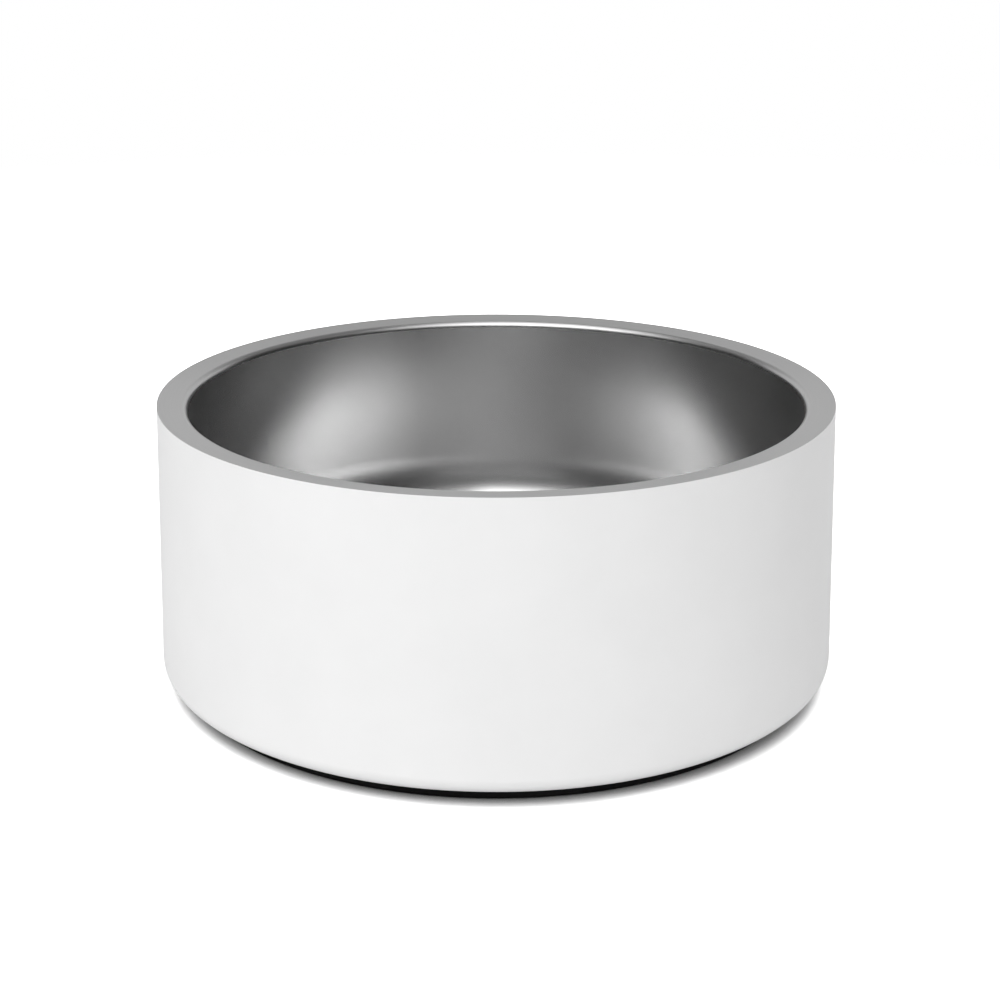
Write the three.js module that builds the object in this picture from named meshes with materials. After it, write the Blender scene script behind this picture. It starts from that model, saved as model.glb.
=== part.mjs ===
import * as THREE from "three";

// A round, double-walled pet bowl of drawn stainless steel, in millimetres.
// Z is the bowl's axis and Z = 0 is the surface that it stands on.
// Every piece is turned about the axis from its half-section, whose points are (radius, height).

// The whole bowl
const rimRadius = 88; // outer edge of the rim
const overallHeight = 76.2; // standing surface to the outer edge of the rim, its highest line
const sheetThickness = 0.7; // all three steel pieces
const seamGap = 0.3; // clearance between neighbouring pieces

// Inner bowl: the food side, its rolled mouth and the flat rim that covers the outer shell's top edge
const rimWidth = 7.7; // outer edge of the rim to the mouth of the food side
const rimFall = 0.7; // the rim falls this much towards the food
const mouthBend = 1.0; // inside radius of the roll between the rim and the food side
const wallDraft = 0.25; // the food side closes in by this much from mouth to floor
const floorBlend = 26; // inside radius between the wall and the floor

// Outer shell: the coated wall and the flange that its foot is turned in to
const wallFlare = 1.9; // the wall stands wider by this much at its foot than at the rim
const footBend = 3.7; // inside radius of the wall's lower corner
const flangeFlat = 8.0; // flat part of the flange, inwards from that corner

// Base plate: laps over the flange, steps down flush with it, and is recessed in the middle
const lapMargin = 3.0; // start of the wall's lower corner to the edge of the lap
const recessDepth = 2.0; // the middle panel stands above the seat by this much
const recessMargin = 1.4; // the foot's inner edge to the foot of the recess's slope
const pressAngle = 40; // slope of the steps pressed into the plate, in degrees
const plateBend = 0.5; // inside radius of the plate's bends
const cavityHeight = 2.45; // air between the panel and the floor of the inner bowl

// Rubber foot: a ring with a pocket for its adhesive and grooves on the side that it stands on
const footInset = 6.5; // foot of the outer wall to the ring's outer edge
const footWidth = 16.2; // across the ring
const footWeb = 1.55; // rubber left between the grooves and the pocket
const footLip = 2.2; // width of the raised edges on both sides of the pocket
const footRound = 0.7; // radius of the two lower edges
const grooveCount = 3;
const grooveWidth = 1.4;
const grooveDepth = 0.8;
const adhesiveThickness = 0.5;

// How finely round forms are divided
const turnSteps = 72; // flats around the axis
const bendError = 0.1; // furthest that a bend's chord may lie from its arc

const steel = { color: 0xb8b9ba, roughness: 0.34, metalness: 1 };
const materials = {
  inner_bowl: steel,
  outer_shell: { color: 0xf2f2f1, roughness: 0.42, metalness: 0 },
  base_plate: steel,
  adhesive_ring: { color: 0x2b2b2c, roughness: 0.7, metalness: 0 },
  rubber_foot: { color: 0x131314, roughness: 0.82, metalness: 0 },
};

// Heights, from the standing surface up
const pocketHeight = grooveDepth + footWeb;
const footHeight = pocketHeight + seamGap + adhesiveThickness;
const seatHeight = footHeight + seamGap; // underside of the flange and of the plate's seat
const lapHeight = seatHeight + sheetThickness + seamGap;
const panelHeight = seatHeight + recessDepth;
const floorHeight = panelHeight + sheetThickness + cavityHeight + sheetThickness;
const rimSlope = Math.atan(rimFall / rimWidth);
// Underside of the rim, where the inner face of the outer shell meets it
const rimUnderside = overallHeight - sheetThickness * (Math.tan(rimSlope) + 1 / Math.cos(rimSlope));
const shellTop = rimUnderside - seamGap;

// Radii, from the outside in
const wallFoot = rimRadius + wallFlare;
const flangeOuter = wallFoot - sheetThickness - footBend;
const flangeInner = flangeOuter - flangeFlat;
const footOuter = wallFoot - footInset;
const footInner = footOuter - footWidth;

// The points of an arc that rounds the corner between two neighbours, or the bare corner if it has no radius.
function roundedCorner(before, corner, after, radius) {
  if (!radius) return [corner];
  const back = before.clone().sub(corner).normalize();
  const ahead = after.clone().sub(corner).normalize();
  const opening = Math.acos(back.dot(ahead));
  const turn = Math.PI - opening;
  const toCentre = back.clone().add(ahead).setLength(radius / Math.sin(opening / 2));
  const centre = corner.clone().add(toCentre);
  const setback = radius / Math.tan(opening / 2);
  const start = corner.clone().addScaledVector(back, setback);
  const sense = Math.sign(ahead.cross(back));
  const steps = Math.ceil(turn / (2 * Math.acos(1 - Math.min(1, bendError / radius))));
  return Array.from({ length: steps + 1 }, (_, i) =>
    start.clone().rotateAround(centre, (sense * turn * i) / steps),
  );
}

// A path through the corners [radius, height, rounding].
function roundedPath(corners) {
  const points = corners.map(([r, z]) => new THREE.Vector2(r, z));
  return corners.flatMap(([, , rounding], i) =>
    roundedCorner(points[i - 1], points[i], points[i + 1], rounding),
  );
}

const LEFT = 1;
const RIGHT = -1;

// The same path moved sideways by a distance, to its left or right.
function movedPath(path, side, distance) {
  const directions = path.slice(1).map((p, i) => p.clone().sub(path[i]).normalize());
  return path.map((p, i) => {
    const arriving = directions[Math.max(i - 1, 0)];
    const leaving = directions[Math.min(i, directions.length - 1)];
    const along = arriving.clone().add(leaving).normalize();
    const sideways = new THREE.Vector2(-along.y, along.x).multiplyScalar(side);
    return sideways.multiplyScalar(distance / along.dot(arriving)).add(p);
  });
}

// Whether a path through three corners turns left or right at the middle one.
function turnSide([r0, z0], [r1, z1], [r2, z2]) {
  return Math.sign((r1 - r0) * (z2 - z1) - (z1 - z0) * (r2 - r1));
}

// The section of a bent sheet. The corners [radius, height, inside bend radius] lie on one of its faces,
// and its thickness lies to the left or right of them.
function sheetSection(corners, side) {
  const rounded = corners.map(([r, z, bend], i) => {
    if (!bend) return [r, z];
    const turnsToSheet = turnSide(corners[i - 1], corners[i], corners[i + 1]) === side;
    return [r, z, turnsToSheet ? bend + sheetThickness : bend];
  });
  const face = roundedPath(rounded);
  const back = movedPath(face, side, sheetThickness);
  return side === LEFT ? [...face, ...back.reverse()] : [...back, ...face.reverse()];
}

// A named solid turned about the axis. A section that doesn't start on the axis is closed on itself.
function turned(name, section) {
  const outline = section[0].x === 0 ? section : [...section, section[0]];
  const geometry = new THREE.LatheGeometry(outline, turnSteps).rotateX(Math.PI / 2);
  const mesh = new THREE.Mesh(geometry, new THREE.MeshStandardMaterial(materials[name]));
  mesh.name = name;
  return mesh;
}

// From the middle of the floor up the food side, over the roll and out along the rim.
function innerBowl() {
  const mouth = rimRadius - rimWidth;
  const foodSide = [
    [0, floorHeight],
    [mouth - wallDraft, floorHeight, floorBlend],
    [mouth, overallHeight - rimFall, mouthBend],
    [rimRadius, overallHeight],
  ];
  return turned("inner_bowl", sheetSection(foodSide, RIGHT));
}

// From under the rim's outer edge down the coated face, round the lower corner and in along the flange.
function outerShell() {
  const flareAtTop = (wallFlare * (overallHeight - shellTop)) / (overallHeight - seatHeight);
  const coatedFace = [
    [rimRadius + flareAtTop, shellTop],
    [wallFoot, seatHeight, footBend],
    [flangeInner, seatHeight],
  ];
  return turned("outer_shell", sheetSection(coatedFace, RIGHT));
}

// From the middle of the underside out: panel, slope, seat flush with the flange, slope and lap.
function basePlate() {
  const slopeRun = (rise) => rise / Math.tan(THREE.MathUtils.degToRad(pressAngle));
  const recessEdge = footInner - recessMargin;
  const lapStart = flangeInner - seamGap;
  const underside = [
    [0, panelHeight],
    [recessEdge - slopeRun(recessDepth), panelHeight, plateBend],
    [recessEdge, seatHeight, plateBend],
    [lapStart - slopeRun(lapHeight - seatHeight), seatHeight, plateBend],
    [lapStart, lapHeight, plateBend],
    [flangeOuter - lapMargin, lapHeight],
  ];
  return turned("base_plate", sheetSection(underside, LEFT));
}

// One groove across the standing side, from its inner to its outer edge.
function groove(middle) {
  const inner = middle - grooveWidth / 2;
  const outer = middle + grooveWidth / 2;
  return [
    [inner, 0],
    [inner, grooveDepth],
    [outer, grooveDepth],
    [outer, 0],
  ];
}

// Down the inner edge, out along the grooved standing side, up the outer edge and back over the pocket.
function rubberFoot() {
  const pitch = footWidth / (grooveCount + 1);
  const middles = Array.from({ length: grooveCount }, (_, i) => footInner + pitch * (i + 1));
  const outline = [
    [footInner, footHeight],
    [footInner, 0, footRound],
    ...middles.flatMap(groove),
    [footOuter, 0, footRound],
    [footOuter, footHeight],
    [footOuter - footLip, footHeight],
    [footOuter - footLip, pocketHeight],
    [footInner + footLip, pocketHeight],
    [footInner + footLip, footHeight],
  ];
  return turned("rubber_foot", roundedPath(outline));
}

// The flat ring in the pocket that bonds the foot to the plate's seat and the flange.
function adhesiveRing() {
  const inner = footInner + footLip + seamGap;
  const outer = footOuter - footLip - seamGap;
  const bottom = pocketHeight + seamGap;
  const top = bottom + adhesiveThickness;
  const outline = [
    [inner, bottom],
    [outer, bottom],
    [outer, top],
    [inner, top],
  ];
  return turned("adhesive_ring", roundedPath(outline));
}

const bowl = new THREE.Group();
bowl.add(innerBowl(), outerShell(), basePlate(), adhesiveRing(), rubberFoot());

export default bowl;
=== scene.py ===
import math

import bmesh
import bpy
import numpy as np
from mathutils import Matrix, Vector


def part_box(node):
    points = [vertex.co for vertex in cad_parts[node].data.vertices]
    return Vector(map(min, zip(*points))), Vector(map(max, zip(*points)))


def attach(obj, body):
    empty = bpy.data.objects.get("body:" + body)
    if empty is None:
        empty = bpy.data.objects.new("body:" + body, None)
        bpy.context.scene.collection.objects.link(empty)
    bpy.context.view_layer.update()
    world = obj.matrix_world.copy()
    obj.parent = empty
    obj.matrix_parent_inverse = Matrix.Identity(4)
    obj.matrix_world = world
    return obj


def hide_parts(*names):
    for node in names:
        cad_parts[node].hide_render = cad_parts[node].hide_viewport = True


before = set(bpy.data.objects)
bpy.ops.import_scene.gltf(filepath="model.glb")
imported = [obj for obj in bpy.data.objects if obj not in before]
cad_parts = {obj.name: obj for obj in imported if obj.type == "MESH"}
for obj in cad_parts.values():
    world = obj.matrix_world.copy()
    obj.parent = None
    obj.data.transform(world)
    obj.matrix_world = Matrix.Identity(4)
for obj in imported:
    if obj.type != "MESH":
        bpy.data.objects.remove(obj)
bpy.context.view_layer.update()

# A round, double-walled pet bowl on a white ground.
# Sizes are in metres. Sections are lists of points (radius, height), turned about the bowl's axis.
MM = 0.001


# Sizes that a node's box doesn't give

SHEET = 0.7 * MM
SEAM_GAP = 0.3 * MM  # between neighbouring solids
EDGE_ROUND = 0.06 * MM  # on the cut edges of the sheet

# The coat lies on the outer wall and wraps the rim's cut edge
COAT = 0.05 * MM
COAT_ROUND = 0.03 * MM
COAT_SEAM = 0.01 * MM

RIM_WIDTH = 7.7 * MM
RIM_FALL = 0.7 * MM  # towards the food
MOUTH_ROUND = 1.7 * MM  # the visible face of the roll between rim and food side
WALL_DRAFT = 0.25 * MM  # the food side closes in by this much at its floor
FLOOR_BLEND = 26 * MM

WALL_FLARE = 1.9 * MM  # the outer wall stands wider by this much at its foot
FOOT_ROUND = 4.4 * MM
FLANGE_FLAT = 8.0 * MM

RECESS_MARGIN = 1.4 * MM  # from the rubber's inner edge to the foot of the recess's slope
PRESS_ANGLE = math.radians(40)
PLATE_BEND = 0.5 * MM

RUBBER_WIDTH = 16.2 * MM
RUBBER_LIP = 2.2 * MM  # the raised edges on both sides of the pocket
RUBBER_ROUND = 0.7 * MM
RUBBER_TOP_ROUND = 0.25 * MM
GROOVE_COUNT = 3
GROOVE_WIDTH = 1.4 * MM
GROOVE_DEPTH = 0.8 * MM
GROOVE_ROUND = 0.15 * MM

# How finely the pieces are divided. Bends up to SMALL_BEND take the coarser step.
TURN_SEGMENTS = 256
BEND_STEP = math.radians(3)
SMALL_BEND = 0.5 * MM
SMALL_BEND_STEP = math.radians(10)
LONGEST_RUN = 3 * MM
SHARP_ANGLE = math.radians(35)
ON_AXIS = 0.001 * MM


def beyond_round(radius, lean):
    """How far a sharp corner stands out beyond its rounding, when one of its sides leans."""
    return radius * (math.tan(lean) + 1 / math.cos(lean) - 1)


# Sizes that the frame gives

liner_low, liner_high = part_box("inner_bowl")
shell_low, shell_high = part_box("outer_shell")
_, plate_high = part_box("base_plate")
_, rubber_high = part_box("rubber_foot")
adhesive_low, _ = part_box("adhesive_ring")

rim_slope = math.atan(RIM_FALL / RIM_WIDTH)
rim_corner = liner_high.z
rim_radius = liner_high.x - SHEET * math.sin(rim_slope)
floor_height = liner_low.z + SHEET
seat_height = shell_low.z
wall_lean = math.atan(WALL_FLARE / (rim_corner - seat_height))
wall_foot = shell_high.x + beyond_round(FOOT_ROUND, wall_lean)
flange_inner = wall_foot - FOOT_ROUND - FLANGE_FLAT
rubber_inner = rubber_high.x - RUBBER_WIDTH


# Sections

def rounded_corner(before, corner, after, radius):
    """The points of the arc that rounds a corner."""
    back = (before - corner).normalized()
    ahead = (after - corner).normalized()
    opening = back.angle(ahead)
    centre = corner + (back + ahead).normalized() * radius / math.sin(opening / 2)
    start = corner + back * radius / math.tan(opening / 2) - centre
    turn = math.copysign(math.pi - opening, ahead.x * back.y - ahead.y * back.x)
    step = BEND_STEP if radius > SMALL_BEND else SMALL_BEND_STEP
    steps = max(2, math.ceil(abs(turn) / step))
    return [centre + Matrix.Rotation(turn * i / steps, 2) @ start for i in range(steps + 1)]


def rounded_path(corners):
    """A path through corners (radius, height), each with or without a rounding as its third number.

    A corner without one is sharp. Long straight runs are divided.
    """
    points = [Vector(corner[:2]) for corner in corners]
    path = []
    for i, corner in enumerate(corners):
        reached = [points[i]]
        if len(corner) > 2:
            reached = rounded_corner(points[i - 1], points[i], points[(i + 1) % len(points)], corner[2])
        if path:
            start = path[-1]
            run = reached[0] - start
            parts = max(1, math.ceil(run.length / LONGEST_RUN))
            path += [start + run * k / parts for k in range(1, parts)]
        path += reached
    return path


def moved_path(path, distance):
    """The same path moved to its left, or to its right for a negative distance."""
    directions = [(after - before).normalized() for before, after in zip(path, path[1:])]
    moved = []
    for i, point in enumerate(path):
        arriving = directions[max(i - 1, 0)]
        leaving = directions[min(i, len(directions) - 1)]
        along = (arriving + leaving).normalized()
        moved.append(point + Vector((-along.y, along.x)) * distance / along.dot(arriving))
    return moved


def sheet_section(corners, thickness):
    """A bent sheet's outline, with its cut edge rounded.

    The corners lie on one face. The sheet is to their left, or to their right for a negative thickness.
    """
    face = rounded_path(corners)
    back = moved_path(face, thickness)[::-1]
    edge = rounded_corner(face[-2], face[-1], back[0], EDGE_ROUND)
    edge += rounded_corner(face[-1], back[0], back[1], EDGE_ROUND)
    return face[:-1] + edge + back[1:]


# Meshes

def ring_of(mesh, point):
    """The vertices that one point of a section makes when it is turned."""
    if point.x < ON_AXIS:
        return [mesh.verts.new((0, 0, point.y))]
    angles = np.linspace(0, 2 * math.pi, TURN_SEGMENTS, endpoint=False)
    return [mesh.verts.new((point.x * math.cos(a), point.x * math.sin(a), point.y)) for a in angles]


def join_rings(mesh, first, second):
    """The faces between two neighbouring rings. A ring on the axis is a single vertex."""
    for k in range(TURN_SEGMENTS):
        k_next = (k + 1) % TURN_SEGMENTS
        around = [first[k % len(first)], first[k_next % len(first)]]
        around += [second[k_next % len(second)], second[k % len(second)]]
        mesh.faces.new(list(dict.fromkeys(around)))


def turned(name, section):
    """A closed mesh turned from a section that starts and ends on the axis, or closes on itself."""
    mesh = bmesh.new()
    rings = [ring_of(mesh, point) for point in section]
    if len(rings[0]) > 1:
        rings.append(rings[0])
    for first, second in zip(rings, rings[1:]):
        join_rings(mesh, first, second)
    bmesh.ops.recalc_face_normals(mesh, faces=mesh.faces)
    data = bpy.data.meshes.new(name)
    mesh.to_mesh(data)
    mesh.free()
    data.shade_smooth()
    data.set_sharp_from_angle(angle=SHARP_ANGLE)
    piece = bpy.data.objects.new(name, data)
    bpy.context.scene.collection.objects.link(piece)
    smoothing = piece.modifiers.new("even_shading", "WEIGHTED_NORMAL")
    smoothing.keep_sharp = True
    return piece


def fit(piece, node, material):
    """Puts a piece in the place of its CAD node."""
    piece.data.materials.append(material)
    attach(piece, "root")
    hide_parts(node)


# The pieces

def rim_height(radius, below=0.0):
    """The height of the rim's flat at a radius, or of a face at a distance below it."""
    return rim_corner - (rim_radius - radius) * math.tan(rim_slope) - below / math.cos(rim_slope)


def make_inner_bowl(material):
    """From the middle of the floor up the food side, over the roll and out along the rim."""
    mouth = rim_radius - RIM_WIDTH
    rim_edge = rim_radius - COAT - COAT_SEAM
    section = sheet_section([
        (0, floor_height),
        (mouth - WALL_DRAFT, floor_height, FLOOR_BLEND),
        (mouth, rim_corner - RIM_FALL, MOUTH_ROUND),
        (rim_edge, rim_height(rim_edge)),
    ], -SHEET)
    fit(turned("liner", section), "inner_bowl", material)


def make_outer_shell(material):
    """Down the coated wall, round its foot, in along the flange and back up to the rim's cut edge."""
    rim_edge = rim_radius - COAT
    under_rim = SHEET + COAT_SEAM
    inner_foot = wall_foot - SHEET * (math.tan(wall_lean) + 1 / math.cos(wall_lean))
    inner_top = inner_foot - math.tan(wall_lean) * (rim_corner - SHEET - seat_height)
    flange_top = seat_height + SHEET
    section = rounded_path([
        (rim_radius, rim_corner - COAT_SEAM, COAT_ROUND),
        (wall_foot, seat_height, FOOT_ROUND),
        (flange_inner, seat_height, EDGE_ROUND),
        (flange_inner, flange_top, EDGE_ROUND),
        (inner_foot, flange_top, FOOT_ROUND - SHEET),
        (inner_top, rim_height(inner_top, under_rim)),
        (rim_edge, rim_height(rim_edge, under_rim)),
        (rim_edge, rim_corner - COAT_SEAM),
    ])
    fit(turned("coated_wall", section), "outer_shell", material)


def make_base_plate(material):
    """From the middle of the underside out: panel, slope, seat, slope and lap."""
    panel_height = plate_high.z - SHEET
    lap_height = seat_height + SHEET + SEAM_GAP
    recess_edge = rubber_inner - RECESS_MARGIN
    lap_start = flange_inner - SEAM_GAP
    recess_run = (panel_height - seat_height) / math.tan(PRESS_ANGLE)
    lap_run = (lap_height - seat_height) / math.tan(PRESS_ANGLE)
    section = sheet_section([
        (0, panel_height),
        (recess_edge - recess_run, panel_height, PLATE_BEND),
        (recess_edge, seat_height, PLATE_BEND + SHEET),
        (lap_start - lap_run, seat_height, PLATE_BEND + SHEET),
        (lap_start, lap_height, PLATE_BEND),
        (plate_high.x, lap_height),
    ], SHEET)
    fit(turned("pressed_base", section), "base_plate", material)


def groove(middle):
    """The corners of one groove in the rubber's standing side."""
    inner = middle - GROOVE_WIDTH / 2
    outer = middle + GROOVE_WIDTH / 2
    return [
        (inner, 0, GROOVE_ROUND),
        (inner, GROOVE_DEPTH, GROOVE_ROUND),
        (outer, GROOVE_DEPTH, GROOVE_ROUND),
        (outer, 0, GROOVE_ROUND),
    ]


def make_rubber_foot(material):
    """Down the inner edge, out along the grooved side, up the outer edge and back over the pocket."""
    top = rubber_high.z
    pocket = adhesive_low.z - SEAM_GAP
    outer = rubber_high.x
    pitch = RUBBER_WIDTH / (GROOVE_COUNT + 1)
    corners = [(rubber_inner, top, RUBBER_TOP_ROUND), (rubber_inner, 0, RUBBER_ROUND)]
    for i in range(GROOVE_COUNT):
        corners += groove(rubber_inner + pitch * (i + 1))
    corners += [
        (outer, 0, RUBBER_ROUND),
        (outer, top, RUBBER_TOP_ROUND),
        (outer - RUBBER_LIP, top, RUBBER_TOP_ROUND),
        (outer - RUBBER_LIP, pocket),
        (rubber_inner + RUBBER_LIP, pocket),
        (rubber_inner + RUBBER_LIP, top, RUBBER_TOP_ROUND),
    ]
    fit(turned("foot_ring", rounded_path(corners)), "rubber_foot", material)


def dress_adhesive(material):
    """The adhesive ring keeps its CAD solid, which nothing shows."""
    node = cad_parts["adhesive_ring"]
    node.data.materials.clear()
    node.data.materials.append(material)


# Materials

# The middle stretch of a noise, in which nearly all of its values lie
NOISE_LOW = 0.3
NOISE_HIGH = 0.7

# The Mix node's sockets for colours, which share their names with those for numbers
MIX_A = 6
MIX_B = 7
MIX_RESULT = 2

LINES_AROUND = 14.0
LINES_ACROSS = 3800.0
LINES_SHARE = 0.6  # of the steel's change in tone. The rest is broad clouds.
LINES_DEPTH = 0.0008 * MM
TONE_SPREAD = 0.035
ROUGHNESS_SPREAD = 0.015

# Distances below the rim between which the steel grows rougher towards the roll
ROLL_START = 2.5 * MM
ROLL_FULL = 1.5 * MM

RUBBER_SPECULAR = 0.2


class Nodes:
    """Short calls for the nodes that are used here, in the tree of a material or a world."""

    def __init__(self, owner):
        owner.use_nodes = True
        self.tree = owner.node_tree

    def new(self, kind, **settings):
        node = self.tree.nodes.new(kind)
        for key, value in settings.items():
            setattr(node, key, value)
        return node

    def put(self, socket, value):
        """Links a socket to another node's output, or sets its value."""
        if isinstance(value, bpy.types.NodeSocket):
            self.tree.links.new(value, socket)
        else:
            socket.default_value = value

    def math(self, operation, first, second=0.0):
        node = self.new("ShaderNodeMath", operation=operation)
        self.put(node.inputs[0], first)
        self.put(node.inputs[1], second)
        return node.outputs[0]

    def map_range(self, value, low, high, to_low, to_high):
        node = self.new("ShaderNodeMapRange")
        for socket, given in zip(node.inputs, (value, low, high, to_low, to_high)):
            self.put(socket, given)
        return node.outputs[0]


class Shading(Nodes):
    """A material, with a Principled shader to start from."""

    def __init__(self, name):
        self.material = bpy.data.materials.new(name)
        super().__init__(self.material)
        self.shader = self.tree.nodes["Principled BSDF"]

    def surface(self, **values):
        """Sets the shader's sockets. base_color stands for Base Color, and so on."""
        for key, value in values.items():
            self.put(self.shader.inputs[key.replace("_", " ").title()], value)

    def surface_from(self, shader):
        """Puts another shader in the place of the Principled one."""
        self.tree.nodes.remove(self.shader)
        self.put(self.tree.nodes["Material Output"].inputs["Surface"], shader.outputs[0])

    def object_place(self):
        return self.new("ShaderNodeTexCoord").outputs["Object"]

    def coordinates(self):
        """The object's x, y and z as three numbers."""
        split = self.new("ShaderNodeSeparateXYZ")
        self.put(split.inputs[0], self.object_place())
        return split.outputs

    def noise(self, place, scale, detail, roughness=0.5):
        node = self.new("ShaderNodeTexNoise")
        self.put(node.inputs["Vector"], place)
        self.put(node.inputs["Scale"], scale)
        self.put(node.inputs["Detail"], detail)
        self.put(node.inputs["Roughness"], roughness)
        return node.outputs["Fac"]

    def spread(self, noise, low, high):
        """A noise's middle stretch spread over a range."""
        return self.map_range(noise, NOISE_LOW, NOISE_HIGH, low, high)

    def greys(self, noise, dark, light):
        node = self.new("ShaderNodeMix", data_type="RGBA")
        self.put(node.inputs[0], self.spread(noise, 0.0, 1.0))
        self.put(node.inputs[MIX_A], (dark, dark, dark, 1))
        self.put(node.inputs[MIX_B], (light, light, light, 1))
        return node.outputs[MIX_RESULT]

    def bump(self, height, depth):
        node = self.new("ShaderNodeBump")
        self.put(node.inputs["Height"], height)
        self.put(node.inputs["Distance"], depth)
        return node.outputs["Normal"]


def lines_round_the_axis(steel):
    """Fine lines that run round the axis, on the walls, the floor and the rim alike."""
    x, y, z = steel.coordinates()
    x_squared = steel.math("MULTIPLY", x, x)
    y_squared = steel.math("MULTIPLY", y, y)
    radius = steel.math("SQRT", steel.math("ADD", x_squared, y_squared))
    along_section = steel.math("ADD", radius, z)
    place = steel.new("ShaderNodeCombineXYZ")
    steel.put(place.inputs[0], steel.math("MULTIPLY", x, LINES_AROUND))
    steel.put(place.inputs[1], steel.math("MULTIPLY", y, LINES_AROUND))
    steel.put(place.inputs[2], steel.math("MULTIPLY", along_section, LINES_ACROSS))
    return steel.noise(place.outputs[0], scale=1.0, detail=3.0, roughness=0.6)


def turned_steel(name, tone, roughness, anisotropy, rougher_rim=0.0):
    """Satin steel, finished round its axis. Its rim and roll can be rougher than the rest."""
    steel = Shading(name)
    lines = lines_round_the_axis(steel)
    cloud = steel.noise(steel.object_place(), scale=26.0, detail=2.0)
    line_tones = steel.math("MULTIPLY", lines, LINES_SHARE)
    cloud_tones = steel.math("MULTIPLY", cloud, 1 - LINES_SHARE)
    tones = steel.math("ADD", line_tones, cloud_tones)
    sheen = steel.spread(cloud, roughness - ROUGHNESS_SPREAD, roughness + ROUGHNESS_SPREAD)
    height = steel.coordinates()[2]
    at_rim = steel.map_range(height, rim_corner - ROLL_START, rim_corner - ROLL_FULL, 0.0, rougher_rim)
    steel.surface(
        base_color=steel.greys(tones, tone * (1 - TONE_SPREAD), tone * (1 + TONE_SPREAD)),
        roughness=steel.math("ADD", sheen, at_rim),
        metallic=1.0,
        anisotropic=anisotropy,
        anisotropic_rotation=0.25,
        tangent=steel.new("ShaderNodeTangent", direction_type="RADIAL", axis="Z").outputs[0],
        normal=steel.bump(lines, LINES_DEPTH),
    )
    return steel.material


def powder_coat():
    """White powder coat with a faint orange peel."""
    coat = Shading("white_coating")
    peel = coat.noise(coat.object_place(), scale=950.0, detail=1.0, roughness=0.4)
    broad = coat.noise(coat.object_place(), scale=60.0, detail=2.0)
    coat.surface(
        base_color=coat.greys(broad, dark=0.862, light=0.878),
        roughness=coat.spread(peel, low=0.36, high=0.42),
        normal=coat.bump(peel, depth=0.006 * MM),
    )
    return coat.material


def moulded_rubber():
    """Black rubber with the fine grain of its mould."""
    rubber = Shading("foot_rubber")
    grain = rubber.noise(rubber.object_place(), scale=2600.0, detail=2.0)
    dust = rubber.noise(rubber.object_place(), scale=90.0, detail=3.0)
    rubber.surface(
        base_color=rubber.greys(dust, dark=0.005, light=0.009),
        roughness=rubber.spread(grain, low=0.66, high=0.82),
        normal=rubber.bump(grain, depth=0.03 * MM),
    )
    rubber.put(rubber.shader.inputs["Specular IOR Level"], RUBBER_SPECULAR)
    return rubber.material


def foam_adhesive():
    """Dark foam tape with open cells."""
    foam = Shading("adhesive")
    cells = foam.noise(foam.object_place(), scale=1500.0, detail=3.0)
    foam.surface(
        base_color=foam.greys(cells, dark=0.018, light=0.035),
        roughness=foam.spread(cells, low=0.8, high=0.95),
        normal=foam.bump(cells, depth=0.05 * MM),
    )
    return foam.material


# Stage, camera and light

# The photograph's camera. The bowl's axis is a little left of the frame's middle.
CAMERA_BACK = 0.5083
CAMERA_HEIGHT = 0.2166
CAMERA_PITCH = math.radians(18.535)
CAMERA_LENS_MM = 72.31
CAMERA_NEAREST = 0.01
SENSOR_MM = 36
IMAGE_PIXELS = 1000
AXIS_PIXEL_X = 496.3

AMBIENT = 0.35  # strength of the white surroundings where they light the bowl
FLOOR_RADIUS = 0.9
FLOOR_SEGMENTS = 96
FLOOR_FADE_START = 0.55
FLOOR_DROP = 0.03 * MM  # keeps the floor clear of the rubber
FLOOR_WHITE = 0.9
FLOOR_WHITE_TO_CAMERA = 2.3
PAINTED_SHADOW_REACH = 5 * MM  # the floor's colour is darkened this close to the bowl, a painted contact shadow
STUDIO_RADIUS = 1.2  # lamps and cards stand this far out
CARD_STEP = 5  # degrees


def make_camera():
    """The camera stands on the -Y side, above the bowl, and looks a little down."""
    data = bpy.data.cameras.new("camera")
    data.sensor_width = SENSOR_MM
    data.lens = CAMERA_LENS_MM
    data.shift_x = 0.5 - AXIS_PIXEL_X / IMAGE_PIXELS
    data.clip_start = CAMERA_NEAREST
    camera = bpy.data.objects.new("camera", data)
    camera.location = (0, -CAMERA_BACK, CAMERA_HEIGHT)
    camera.rotation_euler = (math.pi / 2 - CAMERA_PITCH, 0, 0)
    bpy.context.scene.collection.objects.link(camera)
    bpy.context.scene.camera = camera


def make_world():
    """White to the camera, to reflections and to refractions, and dimmer where it lights the bowl."""
    world = bpy.data.worlds.new("studio")
    bpy.context.scene.world = world
    nodes = Nodes(world)
    rays = nodes.new("ShaderNodeLightPath").outputs
    seen = nodes.math("MAXIMUM", rays["Is Camera Ray"], rays["Is Glossy Ray"])
    seen = nodes.math("MAXIMUM", seen, rays["Is Transmission Ray"])
    background = nodes.tree.nodes["Background"].inputs
    nodes.put(background["Color"], (1, 1, 1, 1))
    nodes.put(background["Strength"], nodes.map_range(seen, 0.0, 1.0, AMBIENT, 1.0))


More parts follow.
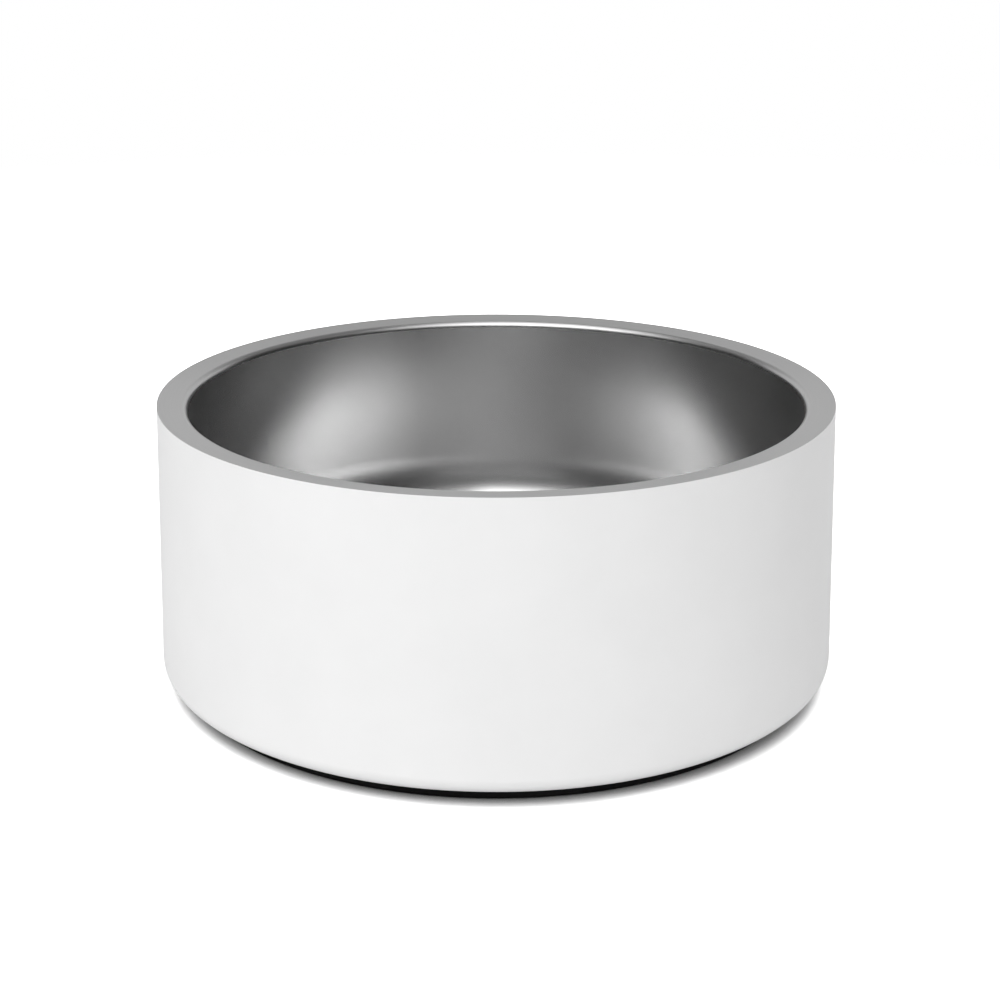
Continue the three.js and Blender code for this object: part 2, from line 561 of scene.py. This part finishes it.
def floor_material():
    """White with a painted contact shadow close to the bowl. It fades out towards the floor's edge.

    It is whiter to the camera than to the bowl, and clear from below.
    """
    ground = Shading("floor")
    camera_ray = ground.new("ShaderNodeLightPath").outputs["Is Camera Ray"]
    tone = ground.map_range(camera_ray, 0.0, 1.0, FLOOR_WHITE, FLOOR_WHITE_TO_CAMERA)
    # Ambient occlusion darkens the floor's colour near the bowl: a painted contact shadow, added to the
    # real one
    painted_contact_shadow = ground.new("ShaderNodeAmbientOcclusion")
    ground.put(painted_contact_shadow.inputs["Distance"], PAINTED_SHADOW_REACH)
    white = ground.new("ShaderNodeBsdfDiffuse")
    ground.put(white.inputs["Color"], ground.math("MULTIPLY", tone, painted_contact_shadow.outputs["AO"]))
    distance = ground.new("ShaderNodeVectorMath", operation="LENGTH")
    ground.put(distance.inputs[0], ground.object_place())
    fade = ground.map_range(distance.outputs["Value"], FLOOR_FADE_START, FLOOR_RADIUS, 1.0, 0.0)
    from_below = ground.new("ShaderNodeNewGeometry").outputs["Backfacing"]
    from_above = ground.math("SUBTRACT", 1.0, from_below)
    mix = ground.new("ShaderNodeMixShader")
    ground.put(mix.inputs[0], ground.math("MULTIPLY", fade, from_above))
    ground.put(mix.inputs[1], ground.new("ShaderNodeBsdfTransparent").outputs[0])
    ground.put(mix.inputs[2], white.outputs[0])
    ground.surface_from(mix)
    return ground.material


def make_floor():
    """A round floor that keeps the bowl's cast shadow, with a painted contact shadow added, and melts
    into the white background.
    """
    mesh = bmesh.new()
    bmesh.ops.create_circle(mesh, cap_ends=True, segments=FLOOR_SEGMENTS, radius=FLOOR_RADIUS)
    data = bpy.data.meshes.new("floor")
    mesh.to_mesh(data)
    mesh.free()
    data.materials.append(floor_material())
    floor = bpy.data.objects.new("floor", data)
    floor.location.z = -FLOOR_DROP
    bpy.context.scene.collection.objects.link(floor)


def direction(azimuth, elevation):
    """Azimuth 0 is in front of the bowl, and 90 to its right."""
    around = math.radians(azimuth)
    up = math.radians(elevation)
    return Vector((math.sin(around) * math.cos(up), -math.cos(around) * math.cos(up), math.sin(up)))


def softbox(name, azimuth, elevation, width, height, radiance):
    """An area lamp aimed at the middle of the rim. Its watts are radiance times pi times area."""
    data = bpy.data.lights.new(name, "AREA")
    data.shape = "RECTANGLE"
    data.size = width
    data.size_y = height
    data.energy = radiance * math.pi * width * height
    lamp = bpy.data.objects.new(name, data)
    away = direction(azimuth, elevation)
    lamp.location = Vector((0, 0, rim_corner)) + away * STUDIO_RADIUS
    lamp.rotation_euler = away.to_track_quat("Z", "Y").to_euler()
    bpy.context.scene.collection.objects.link(lamp)
    return lamp


def fill(name, azimuth, elevation, width, height, radiance):
    """A softbox that reflections don't show."""
    softbox(name, azimuth, elevation, width, height, radiance).visible_glossy = False


def card_material(name, grey):
    """An even glow."""
    face = Shading(name)
    glow = face.new("ShaderNodeEmission")
    face.put(glow.inputs["Color"], (grey, grey, grey, 1))
    face.surface_from(glow)
    return face.material


def card(name, azimuths, elevations, grey):
    """A curved card round the bowl. Only reflections show it, and it casts no shadow."""
    across = max(1, round((azimuths[1] - azimuths[0]) / CARD_STEP))
    up = max(1, round((elevations[1] - elevations[0]) / CARD_STEP))
    mesh = bmesh.new()
    rows = []
    for elevation in np.linspace(*elevations, up + 1):
        places = [direction(azimuth, elevation) for azimuth in np.linspace(*azimuths, across + 1)]
        rows.append([mesh.verts.new(place * STUDIO_RADIUS) for place in places])
    for low, high in zip(rows, rows[1:]):
        for k in range(across):
            mesh.faces.new((low[k], low[k + 1], high[k + 1], high[k]))
    data = bpy.data.meshes.new(name)
    mesh.to_mesh(data)
    mesh.free()
    data.materials.append(card_material(name, grey))
    piece = bpy.data.objects.new(name, data)
    piece.visible_camera = False
    piece.visible_diffuse = False
    piece.visible_transmission = False
    piece.visible_shadow = False
    bpy.context.scene.collection.objects.link(piece)


def make_studio():
    """The lights, and the grey and dark surroundings that the steel reflects."""
    softbox("key", azimuth=-10, elevation=44, width=0.56, height=0.27, radiance=1.7)
    softbox("broad", azimuth=-25, elevation=57, width=1.22, height=0.83, radiance=1.32)
    fill("fill_front", azimuth=-8, elevation=28, width=1.9, height=1.3, radiance=0.82)
    fill("fill_left", azimuth=-88, elevation=12, width=0.6, height=0.4, radiance=1.3)
    fill("fill_left_high", azimuth=-75, elevation=38, width=0.6, height=0.4, radiance=1.3)
    fill("fill_back_right", azimuth=150, elevation=25, width=0.5, height=0.5, radiance=7.5)
    card("dark_surround", azimuths=(-130, 130), elevations=(0, 38), grey=0.0)
    card("grey_back_low", azimuths=(130, 230), elevations=(0, 31), grey=0.62)
    card("grey_back_middle", azimuths=(130, 230), elevations=(31, 38), grey=0.2)
    card("grey_back_high", azimuths=(50, 270), elevations=(38, 62), grey=0.2)
    card("dark_right", azimuths=(75, 165), elevations=(62, 76), grey=0.0)


bpy.context.scene.view_settings.view_transform = "Standard"
make_camera()
make_world()
make_floor()
make_studio()

liner_steel = turned_steel("liner_steel", tone=0.69, roughness=0.25, anisotropy=0.35, rougher_rim=0.1)
base_steel = turned_steel("base_steel", tone=0.52, roughness=0.4, anisotropy=0.3)
make_inner_bowl(liner_steel)
make_outer_shell(powder_coat())
make_base_plate(base_steel)
make_rubber_foot(moulded_rubber())
dress_adhesive(foam_adhesive())
